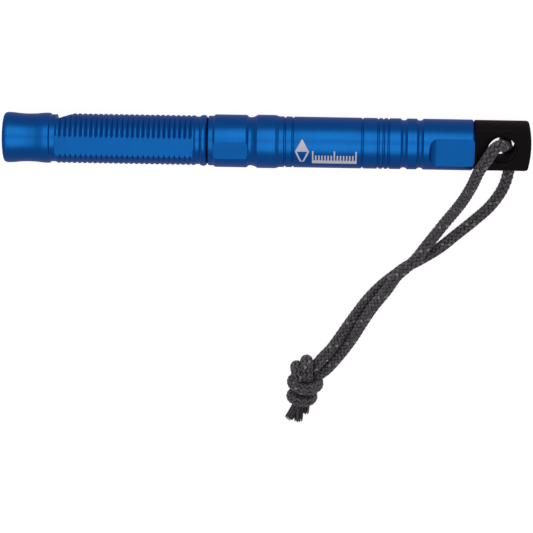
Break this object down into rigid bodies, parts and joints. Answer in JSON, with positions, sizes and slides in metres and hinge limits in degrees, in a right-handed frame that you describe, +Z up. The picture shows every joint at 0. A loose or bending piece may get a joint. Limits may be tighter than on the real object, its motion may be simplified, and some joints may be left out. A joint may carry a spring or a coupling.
{
  "type": "survival whistle",
  "caption": "Turned aluminium survival whistle that screws onto a fire-steel tube, with a pull-out rod on a flat lanyard handle and a doubled, knotted cord.",
  "frame": {"origin": "on the table, below the middle of the tool's length and below its axis", "axes": "+X along the tool from the mouthpiece to the lanyard handle, +Z up from the table and square to the wrench flats"},
  "size_m": [0.132, 0.0887, 0.0142],
  "materials": {
    "blue_anodised": "satin blue anodising over fine turning lines",
    "black_nylon": "moulded, semi-matt",
    "black_rubber": "smooth",
    "hard_steel": "ground",
    "fire_steel": "dull grey",
    "charcoal_cord": "round braid with small pale flecks"
  },
  "bodies": {
    "tube": {"main_tube": "blue_anodised"},
    "seal": {"seam_ring": "black_rubber"},
    "whistle": {"whistle_barrel": "blue_anodised", "fipple_plug": "black_nylon", "striker_blade": "hard_steel"},
    "rod_seals": {"spigot_ring_1": "black_rubber", "spigot_ring_2": "black_rubber"},
    "handle": {"rod_handle": "black_nylon", "ferro_rod": "fire_steel", "cord_front_strand": "charcoal_cord", "cord_rear_strand": "charcoal_cord", "lanyard_knot": "charcoal_cord", "cord_front_tail": "charcoal_cord", "cord_rear_tail": "charcoal_cord"}
  },
  "joints": [
    {"name": "whistle_advance", "type": "slide", "parent": "tube", "child": "seal", "axis": [-1, 0, 0], "range_m": [0, 0.00675]},
    {"name": "whistle_turn", "type": "hinge", "parent": "seal", "child": "whistle", "pos_m": [-0.03, 0, 0.00661], "axis": [-1, 0, 0], "range_deg": [0, 1620]},
    {"name": "rod_pull", "type": "slide", "parent": "tube", "child": "rod_seals", "axis": [1, 0, 0], "range_m": [0, 0.053]},
    {"name": "handle_turn", "type": "hinge", "parent": "rod_seals", "child": "handle", "pos_m": [0.0585, 0, 0.00661], "axis": [1, 0, 0], "continuous": true}
  ],
  "couplings": [
    {"joint": "whistle_turn", "follows": "whistle_advance", "rad_per_m": 4188.8}
  ]
}
